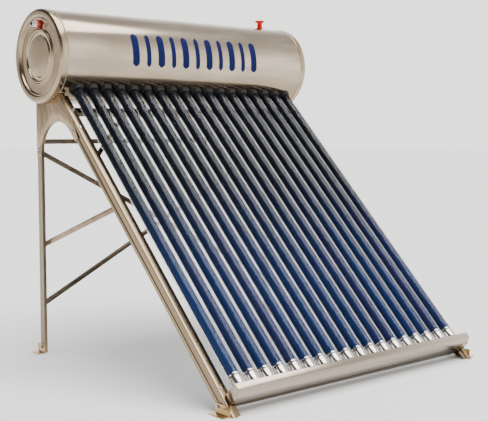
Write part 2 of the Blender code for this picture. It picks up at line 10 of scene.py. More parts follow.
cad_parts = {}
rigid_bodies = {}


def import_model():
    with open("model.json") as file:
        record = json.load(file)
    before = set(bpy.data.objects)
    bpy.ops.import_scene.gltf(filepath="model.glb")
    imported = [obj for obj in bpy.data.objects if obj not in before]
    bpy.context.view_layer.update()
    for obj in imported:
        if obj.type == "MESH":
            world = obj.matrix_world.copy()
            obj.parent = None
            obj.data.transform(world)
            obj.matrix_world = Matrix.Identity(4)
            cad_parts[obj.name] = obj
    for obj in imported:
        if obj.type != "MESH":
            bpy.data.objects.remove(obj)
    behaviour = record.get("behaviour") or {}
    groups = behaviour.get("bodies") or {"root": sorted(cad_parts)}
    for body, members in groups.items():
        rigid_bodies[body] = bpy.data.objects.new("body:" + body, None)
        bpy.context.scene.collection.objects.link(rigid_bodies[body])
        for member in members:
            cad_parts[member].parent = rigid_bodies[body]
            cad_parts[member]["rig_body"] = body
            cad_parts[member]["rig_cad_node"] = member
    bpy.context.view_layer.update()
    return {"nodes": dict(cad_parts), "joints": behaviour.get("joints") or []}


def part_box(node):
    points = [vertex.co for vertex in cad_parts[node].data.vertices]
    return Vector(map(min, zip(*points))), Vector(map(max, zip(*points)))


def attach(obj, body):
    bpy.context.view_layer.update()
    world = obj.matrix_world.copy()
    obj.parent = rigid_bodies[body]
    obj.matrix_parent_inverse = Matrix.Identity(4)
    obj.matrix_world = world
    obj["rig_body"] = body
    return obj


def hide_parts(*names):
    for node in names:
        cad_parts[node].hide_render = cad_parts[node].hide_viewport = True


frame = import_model()

ROOT = "heater"
SIDES = ((-1, "left"), (1, "right"))
TUBES = [f"tube_{i:02d}" for i in range(1, 19)]

# The tank's axis, and the tubes' own frame: x across, y the depth below them, -z the distance down them
low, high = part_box("inner_tank")
TANK = (low + high) / 2
slide = Vector(next(j["axis"] for j in frame["joints"] if j["child"] == TUBES[0]))
TILT = math.atan2(slide.z, slide.y)
PLANE = Matrix.Translation(TANK) @ Matrix.Rotation(TILT - math.pi / 2, 4, "X")


def slanted_box(node):
    """A CAD node's lowest and highest corners in the tubes' frame."""
    back = PLANE.inverted()
    corners = [back @ v.co for v in frame["nodes"][node].data.vertices]
    return tuple(Vector([pick(c[i] for c in corners) for i in range(3)]) for pick in (min, max))


# ---- Shaping ----

def only(piece):
    bpy.ops.object.select_all(action="DESELECT")
    piece.select_set(True)
    bpy.context.view_layer.objects.active = piece


def begin(primitive, **where):
    """Adds a primitive on its own and opens it for shaping."""
    bpy.ops.object.select_all(action="DESELECT")
    primitive(**where)
    bpy.ops.object.mode_set(mode="EDIT")


def pick(kind, test):
    """In edit mode, selects only the corners, edges or faces whose middle passes a test."""
    bpy.ops.mesh.select_mode(type=kind)
    bpy.ops.mesh.select_all(action="DESELECT")
    bm = bmesh.from_edit_mesh(bpy.context.object.data)
    for item in {"VERT": bm.verts, "EDGE": bm.edges, "FACE": bm.faces}[kind]:
        if kind == "VERT":
            middle, normal = item.co, item.normal
        elif kind == "EDGE":
            middle, normal = (item.verts[0].co + item.verts[1].co) / 2, item.verts[1].co - item.verts[0].co
        else:
            middle, normal = item.calc_center_median(), item.normal
        item.select_set(bool(test(middle, normal)))
    bmesh.update_edit_mesh(bpy.context.object.data)


def end(name, place=None, weld=True):
    """Welds and closes the piece in hand, names it and puts its place in its mesh."""
    if weld:
        bpy.ops.mesh.select_all(action="SELECT")
        bpy.ops.mesh.remove_doubles(threshold=0.00001)
        bpy.ops.mesh.normals_make_consistent(inside=False)
    bpy.ops.object.mode_set(mode="OBJECT")
    piece = bpy.context.object
    piece.name = piece.data.name = name
    if place is not None:
        piece.matrix_world = place @ piece.matrix_world
    bpy.ops.object.transform_apply(location=True, rotation=True, scale=True)
    return piece


def modify(piece, kind, **settings):
    only(piece)
    made = piece.modifiers.new(kind.lower(), kind)
    for key, value in settings.items():
        setattr(made, key, value)
    bpy.ops.object.modifier_apply(modifier=made.name)
    return piece


def smooth(piece, degrees=35):
    only(piece)
    bpy.ops.object.shade_smooth_by_angle(angle=math.radians(degrees))
    return piece


def draw_line(points):
    """A line of edges through points, drawn on from one corner."""
    begin(bpy.ops.mesh.primitive_plane_add, size=0.01)
    bpy.ops.mesh.select_mode(type="VERT")
    bpy.ops.mesh.merge(type="CENTER")
    bpy.ops.transform.translate(value=points[0])
    for a, b in zip(points, points[1:]):
        step = Vector(b) - Vector(a)
        bpy.ops.mesh.extrude_region_move(TRANSFORM_OT_translate={"value": step})


def turned(name, profile, sides, place, smooth_angle=35):
    """A piece turned about its own Z from (radius, height) points, axis to axis or round a closed loop."""
    points = [(r, 0, h) for r, h in profile]
    if profile[0][0] > 0:
        points.append(points[0])
    draw_line(points)
    bpy.ops.mesh.select_all(action="SELECT")
    bpy.ops.mesh.spin(steps=sides, angle=math.tau, center=(0, 0, 0), axis=(0, 0, 1))
    return smooth(end(name, place), smooth_angle)


def copied(piece, name, shift):
    """A copy with its own mesh, moved along."""
    only(piece)
    bpy.ops.object.duplicate(linked=False)
    made = bpy.context.object
    made.name = made.data.name = name
    made.location = shift
    bpy.ops.object.transform_apply(location=True, rotation=False, scale=False)
    return made


def joined(name, pieces):
    bpy.ops.object.select_all(action="DESELECT")
    for piece in pieces:
        piece.select_set(True)
    bpy.context.view_layer.objects.active = pieces[0]
    bpy.ops.object.join()
    made = bpy.context.object
    made.name = made.data.name = name
    return made


def arc(centre, radius, first, last, steps):
    """Points round part of a circle, by angles in degrees."""
    spread = [math.radians(first + (last - first) * i / steps) for i in range(steps + 1)]
    return [(centre[0] + radius * math.cos(a), centre[1] + radius * math.sin(a)) for a in spread]


def bent(corners, radius, steps=5):
    """A line with its corners rounded, each by its own radius or all by one."""
    corners = [Vector(c) for c in corners]
    radii = [radius] * len(corners) if isinstance(radius, float) else radius
    line = [corners[0]]
    for i in range(1, len(corners) - 1):
        before = (corners[i - 1] - corners[i]).normalized()
        after = (corners[i + 1] - corners[i]).normalized()
        half = before.angle(after) / 2
        away = radii[i] / math.tan(half)
        middle = corners[i] + (before + after).normalized() * (radii[i] / math.sin(half))
        start, stop = corners[i] + before * away, corners[i] + after * away
        for k in range(steps + 1):
            share = k / steps
            spoke = (start - middle).slerp(stop - middle, share)
            line.append(middle + spoke.normalized() * radii[i])
    return line + [corners[-1]]


def walled(line, steel):
    """The closed outline of sheet bent along a line, with its thickness on the line's left."""
    back = []
    for i, point in enumerate(line):
        sides = []
        for a, b in ((i - 1, i), (i, i + 1)):
            if a >= 0 and b < len(line):
                run = (line[b] - line[a]).normalized()
                sides.append(Vector((-run.y, run.x)))
        middle = sum(sides, Vector((0, 0))).normalized()
        back.append(point + middle * (steel / max(middle.dot(sides[0]), 0.3)))
    return list(line) + back[::-1]


def drawn_out(name, outline, start, stop, place, smooth_angle=35):
    """A closed outline in x and y, drawn out along z."""
    draw_line([(x, y, start) for x, y in outline])
    bpy.ops.mesh.select_all(action="SELECT")
    bpy.ops.mesh.edge_face_add()
    bpy.ops.mesh.extrude_region_move(TRANSFORM_OT_translate={"value": (0, 0, stop - start)})
    return smooth(end(name, place), smooth_angle)


def softened(node, name, width=0.0006, segments=2):
    """A copy of a CAD node, welded and cleaned, with its folds and cut edges rounded."""
    only(frame["nodes"][node])
    bpy.ops.object.duplicate(linked=False)
    piece = bpy.context.object
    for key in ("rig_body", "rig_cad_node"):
        del piece[key]
    piece.parent = None
    piece.name = piece.data.name = name
    bpy.ops.object.mode_set(mode="EDIT")
    bpy.ops.mesh.select_all(action="SELECT")
    bpy.ops.mesh.remove_doubles(threshold=0.00002)
    bpy.ops.mesh.dissolve_limited(angle_limit=math.radians(0.5))
    bpy.ops.object.mode_set(mode="OBJECT")
    modify(piece, "BEVEL", width=width, segments=segments, limit_method="ANGLE", angle_limit=math.radians(40))
    return smooth(piece)


def across(side):
    """Turns a piece's own Z to the heater's left or right, at the tank's axis."""
    return Matrix.Translation(TANK) @ Matrix.Rotation(side * math.pi / 2, 4, "Y")


# ---- Finishes ----

class Number:
    """A socket of numbers that plain sums can be written with."""

    def __init__(self, look, socket):
        self.look, self.socket = look, socket

    def sum(self, operation, first, second):
        return self.look.math(operation, first, second)

    def __add__(self, other):
        return self.sum("ADD", self, other)

    def __radd__(self, other):
        return self.sum("ADD", other, self)

    def __sub__(self, other):
        return self.sum("SUBTRACT", self, other)

    def __rsub__(self, other):
        return self.sum("SUBTRACT", other, self)

    def __mul__(self, other):
        return self.sum("MULTIPLY", self, other)

    def __rmul__(self, other):
        return self.sum("MULTIPLY", other, self)

    def __truediv__(self, other):
        return self.sum("DIVIDE", self, other)

    def __pow__(self, other):
        return self.sum("POWER", self, other)


class Look:
    """A node tree, and one way to add any node to it."""

    def __init__(self, tree):
        self.tree = tree
        tree.nodes.clear()

    def node(self, kind, settings=None, inputs=None):
        made = self.tree.nodes.new("ShaderNode" + kind)
        for key, value in (settings or {}).items():
            if key == "stops":
                ramp = made.color_ramp
                while len(ramp.elements) < len(value):
                    ramp.elements.new(0.5)
                for element, (place, colour) in zip(ramp.elements, value):
                    element.position = place
                    element.color = (*colour, 1)
            else:
                setattr(made, key, value)
        for key, value in (inputs or {}).items():
            socket = value.socket if isinstance(value, Number) else value
            if isinstance(socket, bpy.types.NodeSocket):
                self.tree.links.new(socket, made.inputs[key])
            else:
                made.inputs[key].default_value = socket
        return made

    def math(self, operation, first, second=0.5):
        made = self.node("Math", {"operation": operation}, {0: first, 1: second})
        return Number(self, made.outputs[0])

    def number(self, socket):
        return Number(self, socket)

    def ramp(self, value, low, high, first=0.0, last=1.0):
        """A number that goes smoothly from first to last as another goes from low to high."""
        made = self.node(
            "MapRange",
            {"interpolation_type": "SMOOTHSTEP"},
            {"Value": value, "From Min": low, "From Max": high, "To Min": first, "To Max": last},
        )
        return Number(self, made.outputs["Result"])

    def blend(self, share, first, second, mode="MIX"):
        """A colour between two colours."""
        made = self.node("Mix", {"data_type": "RGBA", "blend_type": mode}, {0: share, 6: first, 7: second})
        return made.outputs[2]

    def place(self):
        """The piece's own coordinates, in metres."""
        return self.node("TexCoord").outputs["Object"]

    def stretched(self, direction, along, width, detail=3.0, roughness=0.55):
        """Noise in streaks along a direction: features along metres long and width metres wide."""
        turn = Vector((0, 0, 1)).rotation_difference(Vector(direction).normalized()).inverted().to_euler()
        turned_place = self.node("Mapping", None, {"Vector": self.place(), "Rotation": turn})
        scaled = self.node(
            "Mapping", None, {"Vector": turned_place.outputs[0], "Scale": (1 / width, 1 / width, 1 / along)}
        )
        made = self.node(
            "TexNoise",
            None,
            {"Vector": scaled.outputs[0], "Scale": 1.0, "Detail": detail, "Roughness": roughness},
        )
        return Number(self, made.outputs["Fac"])

    def noise(self, size, detail=3.0, roughness=0.5, vector=None):
        made = self.node(
            "TexNoise",
            None,
            {"Vector": vector or self.place(), "Scale": 1 / size, "Detail": detail, "Roughness": roughness},
        )
        return Number(self, made.outputs["Fac"])

    def bump(self, height, distance, strength=1.0, normal=None):
        inputs = {"Height": height, "Distance": distance, "Strength": strength}
        if normal is not None:
            inputs["Normal"] = normal
        return self.node("Bump", None, inputs).outputs[0]


def finish(name):
    """A new, empty material and the look that builds it."""
    material = bpy.data.materials.new(name)
    material.use_nodes = True
    return material, Look(material.node_tree)


def show(look, shader):
    look.node("OutputMaterial", None, {"Surface": shader.outputs[0]})


def rgb(red, green, blue):
    return (red, green, blue, 1.0)


def streaked_steel(name, colour, dark, direction, gloss=(0.16, 0.30), wave=0.0006, streak=0.004):
    """Polished stainless sheet: rolling streaks along the piece, a faint wave and small scuffs."""
    material, look = finish(name)
    streaks = look.stretched(direction, 0.9, streak)
    broad = look.stretched(direction, 1.6, streak * 6, 2.0)
    scuffs = look.ramp(look.noise(0.012, 6.0, 0.7), 0.56, 0.72)
    tone = look.ramp(streaks * 0.6 + broad * 0.4, 0.35, 0.65)
    colours = look.blend(tone, rgb(*dark), rgb(*colour))
    swell = look.stretched(direction, 0.55, 0.07, 1.0)
    normal = look.bump(swell, wave * 20, 0.35)
    normal = look.bump(streaks, 0.0004, 0.25, normal)
    shader = look.node(
        "BsdfPrincipled",
        None,
        {
            "Base Color": colours,
            "Metallic": 1.0,
            "Roughness": gloss[0] + (gloss[1] - gloss[0]) * (streaks * 0.7 + scuffs * 0.4),
            "Normal": normal,
        },
    )
    show(look, shader)
    return material


def tank_steel_look():
    """The tank's mirror-like skin: soft oil-canning, fine lengthwise polish lines, and a darker, browner
    underside that is painted shade.
    """
    material, look = finish("tank_skin_steel")
    height = look.number(look.node("SeparateXYZ", None, {"Vector": look.place()}).outputs["Z"])
    # Painted shade: the colour turns darker and browner below the tank's axis.
    painted_underside_shade = look.ramp(height, TANK.z - 0.03, TANK.z - 0.16)
    polish = look.stretched((1, 0, 0), 1.2, 0.003)
    cloud = look.stretched((1, 0, 0), 0.5, 0.09, 2.0)
    upper_tone = look.blend(look.ramp(cloud, 0.35, 0.7), rgb(0.37, 0.295, 0.22), rgb(0.52, 0.435, 0.34))
    # The lower colour is painted shade on the tank's underside; the upper tone varies at random along streaky
    # clouds.
    colours = look.blend(painted_underside_shade, upper_tone, rgb(0.31, 0.235, 0.155))
    swell = look.stretched((1, 0, 0), 0.42, 0.16, 1.0)
    normal = look.bump(swell, 0.010, 0.30)
    normal = look.bump(polish, 0.0002, 0.10, normal)
    shader = look.node(
        "BsdfPrincipled",
        None,
        {"Base Color": colours, "Metallic": 1.0, "Roughness": 0.10 + 0.08 * polish, "Normal": normal},
    )
    show(look, shader)
    return material


def cap_steel_look():
    """The end caps' spun steel: rings of polish round the tank's axis."""
    material, look = finish("end_cap_steel")
    parts = look.node("SeparateXYZ", None, {"Vector": look.place()})
    y = look.number(parts.outputs["Y"]) - TANK.y
    z = look.number(parts.outputs["Z"]) - TANK.z
    radius = (y * y + z * z) ** 0.5
    x = look.number(parts.outputs["X"])
    rings_at = look.node("CombineXYZ", None, {"X": radius * 260.0, "Y": x * 40.0})
    rings = look.noise(1.0, 4.0, 0.6, rings_at.outputs[0])
    stain = look.ramp(look.noise(0.09, 4.0), 0.35, 0.7)
    light = look.blend(stain, rgb(0.29, 0.21, 0.135), rgb(0.44, 0.355, 0.255))
    colours = look.blend(look.ramp(rings, 0.3, 0.7), light, rgb(0.38, 0.29, 0.19))
    shader = look.node(
        "BsdfPrincipled",
        None,
        {
            "Base Color": colours,
            "Metallic": 1.0,
            "Roughness": 0.13 + 0.14 * rings,
            "Normal": look.bump(rings, 0.0004, 0.3),
        },
    )
    show(look, shader)
    return material


def zinc_look(name, colour, gloss):
    """Bright plated fasteners and pipes: a fine grain and darker grime in random patches."""
    material, look = finish(name)
    grain = look.noise(0.0016, 5.0, 0.65)
    grime = look.ramp(look.noise(0.010, 4.0), 0.45, 0.75)
    shade = tuple(c * 0.55 for c in colour)
    shader = look.node(
        "BsdfPrincipled",
        None,
        {
            "Base Color": look.blend(grime, rgb(*colour), rgb(*shade)),
            "Metallic": 1.0,
            "Roughness": gloss + 0.18 * grain,
            "Normal": look.bump(grain, 0.0002, 0.35),
        },
    )
    show(look, shader)
    return material


def down_the_tubes(look):
    """The distance down the tubes from the tank's axis, as a number."""
    parts = look.node("SeparateXYZ", None, {"Vector": look.place()})
    along = Vector((0, -math.cos(TILT), -math.sin(TILT)))
    y = look.number(parts.outputs["Y"]) - TANK.y
    z = look.number(parts.outputs["Z"]) - TANK.z
    return y * along.y + z * along.z


def coating_look():
    """The absorber's sputtered coating, faintly streaked: its change from near black at the top to deep blue
    further down the tube is a painted reflection.
    """
    material, look = finish("absorber_coating")
    down = down_the_tubes(look)
    # Painted reflection: near black near the tank, where the dark tank is mirrored, and deep blue further down,
    # where the bright sky is mirrored.
    lower = look.ramp(down, 0.70, 1.60)
    streaks = look.stretched((0, math.cos(TILT), math.sin(TILT)), 1.5, 0.010, 2.0)
    across_x = look.number(look.node("SeparateXYZ", None, {"Vector": look.place()}).outputs["X"])
    drift = look.noise(0.16, 1.0, 0.5, look.node("CombineXYZ", None, {"X": across_x}).outputs[0])
    blue = look.blend(look.ramp(drift, 0.40, 0.62), rgb(0.016, 0.042, 0.150), rgb(0.026, 0.036, 0.125))
    dark = look.blend(streaks, rgb(0.009, 0.012, 0.020), rgb(0.012, 0.016, 0.027))
    shader = look.node(
        "BsdfPrincipled",
        None,
        {
            "Base Color": look.blend(lower, dark, blue),
            "Specular IOR Level": 0.05,
            "Roughness": 0.22 + 0.03 * streaks,
            "Normal": look.bump(streaks, 0.00005, 0.01),
        },
    )
    show(look, shader)
    return material


def glass_look():
    """The tubes' clear outer glass: seen through, glossier towards its edges, with a trace of dust."""
    material, look = finish("clear_tube_glass")
    dust = look.ramp(look.noise(0.030, 5.0, 0.65), 0.50, 0.80)
    gloss = look.node("BsdfGlossy", None, {"Color": rgb(0.95, 0.95, 0.95), "Roughness": 0.05 + 0.03 * dust})
    clear = look.node("BsdfTransparent", None, {"Color": rgb(0.90, 0.895, 0.88)})
    edge = look.number(look.node("Fresnel", None, {"IOR": 1.47}).outputs[0])
    share = look.math("MINIMUM", edge * 0.42 + 0.006 * dust, 1.0)
    mixed = look.node("MixShader", None, {0: share, 1: clear.outputs[0], 2: gloss.outputs[0]})
    show(look, mixed)
    return material


def silver_look():
    """The flashed getter mirror at each tube's end, with dark specks where it thins out."""
    material, look = finish("getter_silver")
    specks = look.ramp(look.noise(0.006, 3.0, 0.6), 0.62, 0.70)
    cloud = look.noise(0.025, 3.0)
    shader = look.node(
        "BsdfPrincipled",
        None,
        {
            "Base Color": look.blend(specks, rgb(0.90, 0.87, 0.84), rgb(0.10, 0.10, 0.12)),
            "Metallic": 1.0,
            "Roughness": 0.10 + 0.14 * cloud,
            "Normal": look.bump(cloud, 0.0015, 0.25),
        },
    )
    show(look, shader)
    return material


def rubber_look():
    """Black silicone, glossy, with mould grain."""
    material, look = finish("black_silicone")
    grain = look.noise(0.0025, 4.0, 0.6)
    worn = look.ramp(look.noise(0.02, 3.0), 0.5, 0.8)
    shader = look.node(
        "BsdfPrincipled",
        None,
        {
            "Base Color": look.blend(worn, rgb(0.006, 0.006, 0.007), rgb(0.022, 0.021, 0.022)),
            "Specular IOR Level": 0.25,
            "Roughness": 0.28 + 0.20 * grain,
            "Normal": look.bump(grain, 0.0004, 0.3),
        },
    )
    show(look, shader)
    return material


def plastic_look(name, colour, fade, gloss):
    """Moulded plastic or vinyl: faint mottling and a fine orange-peel surface."""
    material, look = finish(name)
    peel = look.noise(0.0018, 3.0, 0.5)
    mottle = look.ramp(look.noise(0.02, 4.0), 0.35, 0.75)
    shader = look.node(
        "BsdfPrincipled",
        None,
        {
            "Base Color": look.blend(mottle, rgb(*colour), rgb(*fade)),
            "Specular IOR Level": 0.08,
            "Roughness": gloss + 0.12 * peel,
            "Normal": look.bump(peel, 0.0002, 0.2),
        },
    )
    show(look, shader)
    return material


def foam_look():
    """Foamed polyurethane, cream and full of small cells."""
    material, look = finish("tank_foam")
    cells = look.node("TexVoronoi", None, {"Vector": look.place(), "Scale": 400.0})
    pores = look.number(cells.outputs["Distance"])
    shader = look.node(
        "BsdfPrincipled",
        None,
        {
            "Base Color": look.blend(pores, rgb(0.86, 0.78, 0.55), rgb(0.66, 0.55, 0.33)),
            "Roughness": 0.85 + 0.10 * pores,
            "Normal": look.bump(pores, 0.001, 0.5),
        },
    )
    show(look, shader)
    return material


LEG_WAY = (0, -math.cos(TILT), -math.sin(TILT))
TANK_STEEL = tank_steel_look()
CAP_STEEL = cap_steel_look()
RAIL_STEEL = streaked_steel("rail_steel", (0.44, 0.38, 0.31), (0.33, 0.27, 0.21), (1, 0, 0), (0.16, 0.28))
LEG_STEEL = streaked_steel("slanted_stand_steel", (0.34, 0.255, 0.16), (0.21, 0.15, 0.09), LEG_WAY)
POST_STEEL = streaked_steel("upright_stand_steel", (0.30, 0.24, 0.17), (0.20, 0.155, 0.105), (0, 0, 1))
# Painted shade: a darker copy of the stand steel for the crossbars and rear braces.
SHADED_BAR_STEEL = streaked_steel("crossbar_steel", (0.25, 0.20, 0.145), (0.11, 0.08, 0.055), (1, 0, 0))
SADDLE_STEEL = streaked_steel(
    "saddle_steel", (0.38, 0.28, 0.18), (0.29, 0.21, 0.13), (0, 0.3, 1), (0.14, 0.28), 0.001, 0.012
)
FOOT_STEEL = streaked_steel("foot_steel", (0.74, 0.46, 0.20), (0.45, 0.30, 0.15), (0, 1, 0), (0.22, 0.40))
BOLT_STEEL = zinc_look("zinc_bolts", (0.62, 0.60, 0.57), 0.18)
PIPE_STEEL = zinc_look("steel_pipes", (0.78, 0.77, 0.75), 0.10)
LINER_STEEL = streaked_steel("liner_steel", (0.74, 0.74, 0.74), (0.60, 0.60, 0.60), (1, 0, 0))
COATING = coating_look()
CLEAR_GLASS = glass_look()
SILVER = silver_look()
RUBBER = rubber_look()
DECAL = plastic_look("blue_vinyl", (0.003, 0.007, 0.062), (0.004, 0.009, 0.080), 0.36)
RED = plastic_look("red_plastic", (0.80, 0.018, 0.010), (0.62, 0.012, 0.008), 0.30)
FOAM = foam_look()


def done(piece, body, slot, material, *nodes):
    """Gives a finished piece its material, its body and the CAD nodes it stands for; the slot argument is not
    used.
    """
    piece.data.materials.clear()
    piece.data.materials.append(material)
    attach(piece, body)
    if nodes:
        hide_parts(*nodes)
    return piece


# ---- Tank ----

SHELL_RADIUS = 0.2285
TANK_SIDES = 144
TANK_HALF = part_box("tank_end_cap_right")[1].x
CAP_SKIRT = 0.045
TUBE_XS = [(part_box(t)[0].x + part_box(t)[1].x) / 2 for t in TUBES]


def along_tubes(x, down):
    """A place on a tube's axis, turned so that its own -Z runs down the tube."""
    return PLANE @ Matrix.Translation((x, 0, -down))


def make_tank_skin():
    """One smooth rolled sheet with its tube bores and vent hole."""
    half = TANK_HALF - CAP_SKIRT + 0.015
    begin(
        bpy.ops.mesh.primitive_cylinder_add,
        vertices=TANK_SIDES,
        radius=SHELL_RADIUS,
        depth=half * 2,
        end_fill_type="NOTHING",
    )
    skin = smooth(end("tank_skin", across(1)), 60)
    plain = copied(skin, "skin_guide", (0, 0, 0))
    modify(skin, "SOLIDIFY", thickness=0.001, offset=-1)
    cutters = []
    for x in TUBE_XS:
        begin(bpy.ops.mesh.primitive_cylinder_add, vertices=48, radius=0.0315, depth=0.10)
        cutters.append(end("bore", along_tubes(x, 0.2285)))
    vent_x = (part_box("vent_pipe")[0].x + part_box("vent_pipe")[1].x) / 2
    begin(bpy.ops.mesh.primitive_cylinder_add, vertices=32, radius=0.0116, depth=0.05)
    cutters.append(end("bore", Matrix.Translation((vent_x, TANK.y, TANK.z + SHELL_RADIUS))))
    cutter = joined("bores", cutters)
    modify(skin, "BOOLEAN", operation="DIFFERENCE", object=cutter, solver="EXACT")
    outside = skin.vertex_groups.new(name="outside")
    axis = Vector((TANK.y, TANK.z))
    outer = [v.index for v in skin.data.vertices if (Vector(v.co.yz) - axis).length > SHELL_RADIUS - 0.0004]
    outside.add(outer, 1.0, "REPLACE")
    modify(
        skin,
        "DATA_TRANSFER",
        object=plain,
        use_loop_data=True,
        data_types_loops={"CUSTOM_NORMAL"},
        loop_mapping="POLYINTERP_NEAREST",
        vertex_group="outside",
    )
    skin.vertex_groups.clear()
    for helper in (plain, cutter):
        bpy.data.objects.remove(helper)
    return done(skin, ROOT, "tank_steel", TANK_STEEL, "tank_shell")


def cap_profile():
    """Half of a pressed end cap: over the face from the middle, and back along the skirt's beads."""
    face = TANK_HALF
    dish = ((0.0, 0.0010), (0.035, 0.0018), (0.070, 0.0042), (0.098, 0.0085))
    outer = [Vector((radius, face - depth)) for radius, depth in dish]
    outer += [Vector(p) for p in arc((0.1115, face - 0.0165), 0.0055, 235, 300, 3)]
    outer += [Vector(p) for p in arc((0.125, face - 0.0125), 0.0065, 165, 15, 8)]
    outer += [Vector(p) for p in arc((0.139, face - 0.0105), 0.0045, 235, 270, 3)]
    outer += [Vector((0.160, face - 0.0150)), Vector((0.1785, face - 0.0150))]
    outer += [Vector(p) for p in arc((0.1785, face - 0.0090), 0.0060, -80, -10, 4)]
    outer += [Vector((0.1865, face - 0.0050))]
    outer += [Vector(p) for p in arc((0.2005, face - 0.0130), 0.0130, 145, 92, 5)]
    outer += [Vector(p) for p in arc((0.2130, face - 0.0160), 0.0160, 88, 8, 8)]
    back = face - CAP_SKIRT
    outer += [Vector((0.2292, back + 0.0100)), Vector((0.2292, back + 0.0060))]
    outer += [Vector(p) for p in arc((0.2278, back + 0.0030), 0.0022, 60, -60, 5)]
    return outer


def make_end_caps():
    line = cap_profile()
    steel = 0.0008
    inner = [Vector((0.0, line[0].y - steel))]
    for a, b, c in zip(line, line[1:], line[2:]):
        run = (c - a).normalized()
        inner.append(b - Vector((-run.y, run.x)) * steel)
    inner.append(Vector((line[-1].x - steel, line[-1].y)))
    profile = [(max(p.x, 0.0), p.y) for p in line + inner[::-1]]
    for side, word in SIDES:
        cap = turned("end_cap_" + word, profile, TANK_SIDES, across(side), 40)
        done(cap, ROOT, "tank_steel", CAP_STEEL, "tank_end_cap_" + word)


def make_decal():
    """Eleven plain upright bars of blue vinyl, rolled on to the front of the tank."""
    bars = []
    radius, rise, reach = SHELL_RADIUS + 0.0004, math.radians(10.5), math.radians(21)
    count, first_x, pitch, wide, narrow = 11, -0.375, 0.0775, 0.040, 0.026
    for i in range(count):
        x = first_x + pitch * i
        begin(bpy.ops.mesh.primitive_grid_add, x_subdivisions=6, y_subdivisions=14, size=1)
        bm = bmesh.from_edit_mesh(bpy.context.object.data)
        for vert in bm.verts:
            share = vert.co.y * 2
            taper = math.sqrt(max(1 - max(abs(share) - 0.80, 0) ** 2 / 0.04, 0.04))
            angle = rise + reach * share
            width = (wide if i % 2 == 0 else narrow) * taper
            y, z = TANK.y - radius * math.cos(angle), TANK.z + radius * math.sin(angle)
            vert.co = (x + vert.co.x * width, y, z)
        bmesh.update_edit_mesh(bpy.context.object.data)
        bars.append(end("bar", None, False))
    decal = joined("decal_bars", bars)
    modify(decal, "SOLIDIFY", thickness=0.0005, offset=0)
    done(smooth(decal), ROOT, "decal_blue", DECAL)


def make_dust_seals():
    """Black silicone rings that close each bore round its tube."""
    profile = [(0.0293, 0.0), (0.0372, 0.0), (0.0388, -0.003), (0.0384, -0.008), (0.0356, -0.012)]
    profile += [(0.0344, -0.016), (0.0340, -0.021), (0.0318, -0.0245), (0.0293, -0.0245)]
    first = turned("dust_seal", profile, 40, along_tubes(TUBE_XS[0], 0.2225), 60)
    rings = [first] + [copied(first, "dust_seal", (x - TUBE_XS[0], 0, 0)) for x in TUBE_XS[1:]]
    done(joined("dust_seals", rings), ROOT, "seal_rubber", RUBBER)


def make_ports():
    rise = Matrix.Translation((0, 0, (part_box("outlet_pipe")[0].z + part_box("outlet_pipe")[1].z) / 2 - TANK.z))
    for side, word in ((-1, "outlet"), (1, "inlet")):
        pipe_low, pipe_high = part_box(word + "_pipe")
        tip = max(abs(pipe_low.x), abs(pipe_high.x))
        start = min(abs(pipe_low.x), abs(pipe_high.x))
        place = rise @ across(side)
        outer = [(0.0105, start), (0.0128, start), (0.0128, TANK_HALF - 0.001)]
        outer += [(0.0160, TANK_HALF - 0.001), (0.0160, TANK_HALF + 0.004), (0.0128, TANK_HALF + 0.005)]
        outer += [(0.0128, tip - 0.026)]
        for k in range(8):
            foot = tip - 0.0255 + k * 0.003
            outer += [(0.0135, foot + 0.0008), (0.0135, foot + 0.0014), (0.0126, foot + 0.0024)]
        outer += [(0.0126, tip - 0.0006), (0.0120, tip), (0.0108, tip), (0.0105, tip - 0.0004)]
        pipe = turned(word + "_nipple", outer[::-1], 40, place, 25)
        done(pipe, ROOT, "pipe_steel", PIPE_STEEL, word + "_pipe")
        ring_low, ring_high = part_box(word + "_seal_ring")
        near, far = sorted((abs(ring_low.x), abs(ring_high.x)))
        ring = [(0.0141, far), (0.0175, far), (0.0185, far - 0.0012), (0.0185, far - 0.0028)]
        ring += [(0.0178, far - 0.0040), (0.0185, far - 0.0052), (0.0185, near + 0.0012)]
        ring += [(0.0175, near), (0.0141, near)]
        collar = turned(word + "_red_collar", ring, 48, place, 30)
        done(collar, word + "_seal_ring", "red_plastic", RED, word + "_seal_ring")


def make_vent():
    pipe_low, pipe_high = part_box("vent_pipe")
    cap_low, cap_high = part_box("vent_cap")
    x = (pipe_low.x + pipe_high.x) / 2
    place = Matrix.Translation((x, TANK.y, 0))
    bottom, top = pipe_low.z, pipe_high.z
    pipe = [(0.0090, top - 0.001), (0.0096, top), (0.0104, top), (0.0110, top - 0.001)]
    pipe += [(0.0110, bottom), (0.0090, bottom)]
    done(turned("vent_stub", pipe, 32, place, 25), ROOT, "pipe_steel", PIPE_STEEL, "vent_pipe")
    foot, crown = cap_low.z, cap_high.z
    cap = [(0.0, crown - 0.0012), (0.012, crown - 0.0008), (0.0235, crown), (0.0258, crown - 0.0012)]
    cap += [(0.0270, crown - 0.0035), (0.0268, crown - 0.0075), (0.0250, crown - 0.0095)]
    cap += [(0.0165, crown - 0.0115), (0.0145, crown - 0.0145), (0.0140, crown - 0.024)]
    cap += [(0.0142, foot + 0.014), (0.0158, foot + 0.009), (0.0174, foot + 0.006), (0.0175, foot + 0.0012)]
    cap += [(0.0168, foot), (0.0116, foot), (0.0116, foot + 0.030)]
    cap += [(0.0, foot + 0.030)]
    done(turned("vent_cap_red", cap, 48, place, 30), "vent_cap", "red_plastic", RED, "vent_cap")


# ---- Evacuated tubes ----

